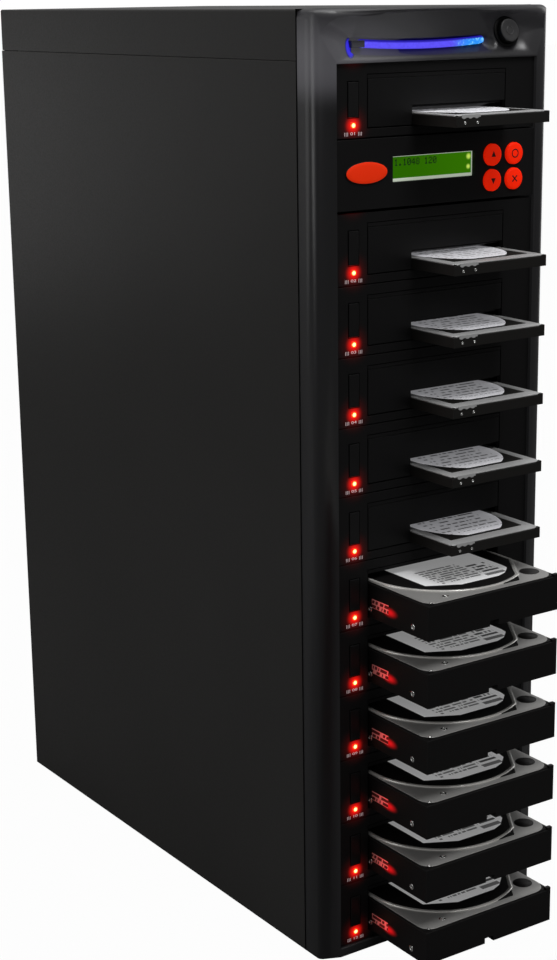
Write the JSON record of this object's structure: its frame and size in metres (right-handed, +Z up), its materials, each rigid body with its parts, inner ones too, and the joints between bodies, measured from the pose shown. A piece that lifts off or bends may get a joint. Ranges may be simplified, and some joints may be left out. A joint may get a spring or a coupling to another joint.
{
  "type": "drive duplicator",
  "caption": "Tower drive duplicator with hot-swap docks holding small and large drives, a panel with display and round buttons, and a moulded front with a light bar.",
  "frame": {"origin": "middle of the footprint, with the drives and thumbscrews at rest, on the surface that the feet stand on", "axes": "+X to the right as seen from the front, -Y out of the front, +Z up"},
  "size_m": [0.174, 0.4544, 0.588],
  "materials": {
    "case_paint": "satin",
    "bezel_plastic": "satin",
    "dock_plastic": "matte",
    "button_plastic": "satin",
    "orange_button": "satin",
    "blue_lens": "gloss",
    "red_lamp": "gloss",
    "green_display": "gloss",
    "drive_metal": "satin",
    "circuit_board": "satin",
    "supply_steel": "satin",
    "fan_plastic": "satin",
    "foot_rubber": "matte"
  },
  "bodies": {
    "case": {"chassis_frame": "case_paint", "top_cover": "case_paint", "rubber_feet": "foot_rubber", "front_bezel": "bezel_plastic", "light_bar": "blue_lens", "dock_faces": "dock_plastic", "dock_trays": "dock_plastic", "dock_rails": "dock_plastic", "circuit_boards": "circuit_board", "status_lamps": "red_lamp", "held_flaps": "dock_plastic", "control_panel": "dock_plastic", "display_module": "green_display", "power_supply": "supply_steel", "fan_frame": "fan_plastic"},
    "left_panel": {"left_panel": "case_paint"},
    "right_panel": {"right_panel": "case_paint"},
    "power_button": {"power_button": "button_plastic"},
    "drive_01": {"drive_01": "drive_metal"},
    "eject_button_01": {"eject_button_01": "dock_plastic"},
    "flap_01": {"flap_01": "dock_plastic"},
    "slot_flap_01": {"slot_flap_01": "dock_plastic"},
    "drive_02": {"drive_02": "drive_metal"},
    "eject_button_02": {"eject_button_02": "dock_plastic"},
    "flap_02": {"flap_02": "dock_plastic"},
    "slot_flap_02": {"slot_flap_02": "dock_plastic"},
    "drive_03": {"drive_03": "drive_metal"},
    "eject_button_03": {"eject_button_03": "dock_plastic"},
    "flap_03": {"flap_03": "dock_plastic"},
    "slot_flap_03": {"slot_flap_03": "dock_plastic"},
    "drive_04": {"drive_04": "drive_metal"},
    "eject_button_04": {"eject_button_04": "dock_plastic"},
    "flap_04": {"flap_04": "dock_plastic"},
    "slot_flap_04": {"slot_flap_04": "dock_plastic"},
    "drive_05": {"drive_05": "drive_metal"},
    "eject_button_05": {"eject_button_05": "dock_plastic"},
    "flap_05": {"flap_05": "dock_plastic"},
    "slot_flap_05": {"slot_flap_05": "dock_plastic"},
    "drive_06": {"drive_06": "drive_metal"},
    "eject_button_06": {"eject_button_06": "dock_plastic"},
    "flap_06": {"flap_06": "dock_plastic"},
    "slot_flap_06": {"slot_flap_06": "dock_plastic"},
    "drive_07": {"drive_07": "drive_metal"},
    "eject_button_07": {"eject_button_07": "dock_plastic"},
    "drive_08": {"drive_08": "drive_metal"},
    "eject_button_08": {"eject_button_08": "dock_plastic"},
    "drive_09": {"drive_09": "drive_metal"},
    "eject_button_09": {"eject_button_09": "dock_plastic"},
    "drive_10": {"drive_10": "drive_metal"},
    "eject_button_10": {"eject_button_10": "dock_plastic"},
    "drive_11": {"drive_11": "drive_metal"},
    "eject_button_11": {"eject_button_11": "dock_plastic"},
    "drive_12": {"drive_12": "drive_metal"},
    "eject_button_12": {"eject_button_12": "dock_plastic"},
    "button_up": {"button_up": "orange_button"},
    "button_enter": {"button_enter": "orange_button"},
    "button_down": {"button_down": "orange_button"},
    "button_escape": {"button_escape": "orange_button"},
    "power_switch": {"power_switch": "button_plastic"},
    "fan_rotor": {"fan_rotor": "fan_plastic"}
  },
  "joints": [
    {"name": "left_panel_slide", "type": "slide", "parent": "case", "child": "left_panel", "axis": [0, 1, 0], "range_m": [0, 0.02]},
    {"name": "right_panel_slide", "type": "slide", "parent": "case", "child": "right_panel", "axis": [0, 1, 0], "range_m": [0, 0.02]},
    {"name": "power_button_press", "type": "slide", "parent": "case", "child": "power_button", "axis": [0, 0.9703, -0.2419], "range_m": [0, 0.0025], "stiffness_N_per_m": 300},
    {"name": "drive_01_slide", "type": "slide", "parent": "case", "child": "drive_01", "axis": [0, -1, 0], "range_m": [-0.0908, 0.055]},
    {"name": "eject_button_01_press", "type": "slide", "parent": "case", "child": "eject_button_01", "axis": [0, 1, 0], "range_m": [0, 0.003], "stiffness_N_per_m": 150},
    {"name": "flap_01_hinge", "type": "hinge", "parent": "case", "child": "flap_01", "pos_m": [0, -0.1671, 0.5506], "axis": [1, 0, 0], "range_deg": [0, 80], "stiffness_Nm_per_rad": 0.002},
    {"name": "slot_flap_01_hinge", "type": "hinge", "parent": "flap_01", "child": "slot_flap_01", "pos_m": [0.0161, -0.1671, 0.53415], "axis": [1, 0, 0], "range_deg": [-80, 0]},
    {"name": "drive_02_slide", "type": "slide", "parent": "case", "child": "drive_02", "axis": [0, -1, 0], "range_m": [-0.0908, 0.055]},
    {"name": "eject_button_02_press", "type": "slide", "parent": "case", "child": "eject_button_02", "axis": [0, 1, 0], "range_m": [0, 0.003], "stiffness_N_per_m": 150},
    {"name": "flap_02_hinge", "type": "hinge", "parent": "case", "child": "flap_02", "pos_m": [0, -0.1671, 0.4666], "axis": [1, 0, 0], "range_deg": [0, 80], "stiffness_Nm_per_rad": 0.002},
    {"name": "slot_flap_02_hinge", "type": "hinge", "parent": "flap_02", "child": "slot_flap_02", "pos_m": [0.0161, -0.1671, 0.45015], "axis": [1, 0, 0], "range_deg": [-80, 0]},
    {"name": "drive_03_slide", "type": "slide", "parent": "case", "child": "drive_03", "axis": [0, -1, 0], "range_m": [-0.0908, 0.055]},
    {"name": "eject_button_03_press", "type": "slide", "parent": "case", "child": "eject_button_03", "axis": [0, 1, 0], "range_m": [0, 0.003], "stiffness_N_per_m": 150},
    {"name": "flap_03_hinge", "type": "hinge", "parent": "case", "child": "flap_03", "pos_m": [0, -0.1671, 0.4246], "axis": [1, 0, 0], "range_deg": [0, 80], "stiffness_Nm_per_rad": 0.002},
    {"name": "slot_flap_03_hinge", "type": "hinge", "parent": "flap_03", "child": "slot_flap_03", "pos_m": [0.0161, -0.1671, 0.40815], "axis": [1, 0, 0], "range_deg": [-80, 0]},
    {"name": "drive_04_slide", "type": "slide", "parent": "case", "child": "drive_04", "axis": [0, -1, 0], "range_m": [-0.0908, 0.055]},
    {"name": "eject_button_04_press", "type": "slide", "parent": "case", "child": "eject_button_04", "axis": [0, 1, 0], "range_m": [0, 0.003], "stiffness_N_per_m": 150},
    {"name": "flap_04_hinge", "type": "hinge", "parent": "case", "child": "flap_04", "pos_m": [0, -0.1671, 0.3826], "axis": [1, 0, 0], "range_deg": [0, 80], "stiffness_Nm_per_rad": 0.002},
    {"name": "slot_flap_04_hinge", "type": "hinge", "parent": "flap_04", "child": "slot_flap_04", "pos_m": [0.0161, -0.1671, 0.36615], "axis": [1, 0, 0], "range_deg": [-80, 0]},
    {"name": "drive_05_slide", "type": "slide", "parent": "case", "child": "drive_05", "axis": [0, -1, 0], "range_m": [-0.0908, 0.055]},
    {"name": "eject_button_05_press", "type": "slide", "parent": "case", "child": "eject_button_05", "axis": [0, 1, 0], "range_m": [0, 0.003], "stiffness_N_per_m": 150},
    {"name": "flap_05_hinge", "type": "hinge", "parent": "case", "child": "flap_05", "pos_m": [0, -0.1671, 0.3406], "axis": [1, 0, 0], "range_deg": [0, 80], "stiffness_Nm_per_rad": 0.002},
    {"name": "slot_flap_05_hinge", "type": "hinge", "parent": "flap_05", "child": "slot_flap_05", "pos_m": [0.0161, -0.1671, 0.32415], "axis": [1, 0, 0], "range_deg": [-80, 0]},
    {"name": "drive_06_slide", "type": "slide", "parent": "case", "child": "drive_06", "axis": [0, -1, 0], "range_m": [-0.0908, 0.055]},
    {"name": "eject_button_06_press", "type": "slide", "parent": "case", "child": "eject_button_06", "axis": [0, 1, 0], "range_m": [0, 0.003], "stiffness_N_per_m": 150},
    {"name": "flap_06_hinge", "type": "hinge", "parent": "case", "child": "flap_06", "pos_m": [0, -0.1671, 0.2986], "axis": [1, 0, 0], "range_deg": [0, 80], "stiffness_Nm_per_rad": 0.002},
    {"name": "slot_flap_06_hinge", "type": "hinge", "parent": "flap_06", "child": "slot_flap_06", "pos_m": [0.0161, -0.1671, 0.28215], "axis": [1, 0, 0], "range_deg": [-80, 0]},
    {"name": "drive_07_slide", "type": "slide", "parent": "case", "child": "drive_07", "axis": [0, -1, 0], "range_m": [-0.062, 0.075]},
    {"name": "eject_button_07_press", "type": "slide", "parent": "case", "child": "eject_button_07", "axis": [0, 1, 0], "range_m": [0, 0.003], "stiffness_N_per_m": 150},
    {"name": "drive_08_slide", "type": "slide", "parent": "case", "child": "drive_08", "axis": [0, -1, 0], "range_m": [-0.062, 0.075]},
    {"name": "eject_button_08_press", "type": "slide", "parent": "case", "child": "eject_button_08", "axis": [0, 1, 0], "range_m": [0, 0.003], "stiffness_N_per_m": 150},
    {"name": "drive_09_slide", "type": "slide", "parent": "case", "child": "drive_09", "axis": [0, -1, 0], "range_m": [-0.062, 0.075]},
    {"name": "eject_button_09_press", "type": "slide", "parent": "case", "child": "eject_button_09", "axis": [0, 1, 0], "range_m": [0, 0.003], "stiffness_N_per_m": 150},
    {"name": "drive_10_slide", "type": "slide", "parent": "case", "child": "drive_10", "axis": [0, -1, 0], "range_m": [-0.062, 0.075]},
    {"name": "eject_button_10_press", "type": "slide", "parent": "case", "child": "eject_button_10", "axis": [0, 1, 0], "range_m": [0, 0.003], "stiffness_N_per_m": 150},
    {"name": "drive_11_slide", "type": "slide", "parent": "case", "child": "drive_11", "axis": [0, -1, 0], "range_m": [-0.062, 0.075]},
    {"name": "eject_button_11_press", "type": "slide", "parent": "case", "child": "eject_button_11", "axis": [0, 1, 0], "range_m": [0, 0.003], "stiffness_N_per_m": 150},
    {"name": "drive_12_slide", "type": "slide", "parent": "case", "child": "drive_12", "axis": [0, -1, 0], "range_m": [-0.062, 0.075]},
    {"name": "eject_button_12_press", "type": "slide", "parent": "case", "child": "eject_button_12", "axis": [0, 1, 0], "range_m": [0, 0.003], "stiffness_N_per_m": 150},
    {"name": "button_up_press", "type": "slide", "parent": "case", "child": "button_up", "axis": [0, 1, 0], "range_m": [0, 0.0008], "stiffness_N_per_m": 300},
    {"name": "button_enter_press", "type": "slide", "parent": "case", "child": "button_enter", "axis": [0, 1, 0], "range_m": [0, 0.0008], "stiffness_N_per_m": 300},
    {"name": "button_down_press", "type": "slide", "parent": "case", "child": "button_down", "axis": [0, 1, 0], "range_m": [0, 0.0008], "stiffness_N_per_m": 300},
    {"name": "button_escape_press", "type": "slide", "parent": "case", "child": "button_escape", "axis": [0, 1, 0], "range_m": [0, 0.0008], "stiffness_N_per_m": 300},
    {"name": "power_switch_tip", "type": "hinge", "parent": "case", "child": "power_switch", "pos_m": [-0.022, 0.2182, 0.52], "axis": [1, 0, 0], "range_deg": [-8, 8]},
    {"name": "fan_rotor_spin", "type": "hinge", "parent": "case", "child": "fan_rotor", "pos_m": [0, 0.2088, 0.3], "axis": [0, 1, 0], "continuous": true}
  ],
  "couplings": [
    {"joint": "slot_flap_01_hinge", "follows": "flap_01_hinge", "ratio": -1},
    {"joint": "slot_flap_02_hinge", "follows": "flap_02_hinge", "ratio": -1},
    {"joint": "slot_flap_03_hinge", "follows": "flap_03_hinge", "ratio": -1},
    {"joint": "slot_flap_04_hinge", "follows": "flap_04_hinge", "ratio": -1},
    {"joint": "slot_flap_05_hinge", "follows": "flap_05_hinge", "ratio": -1},
    {"joint": "slot_flap_06_hinge", "follows": "flap_06_hinge", "ratio": -1}
  ]
}
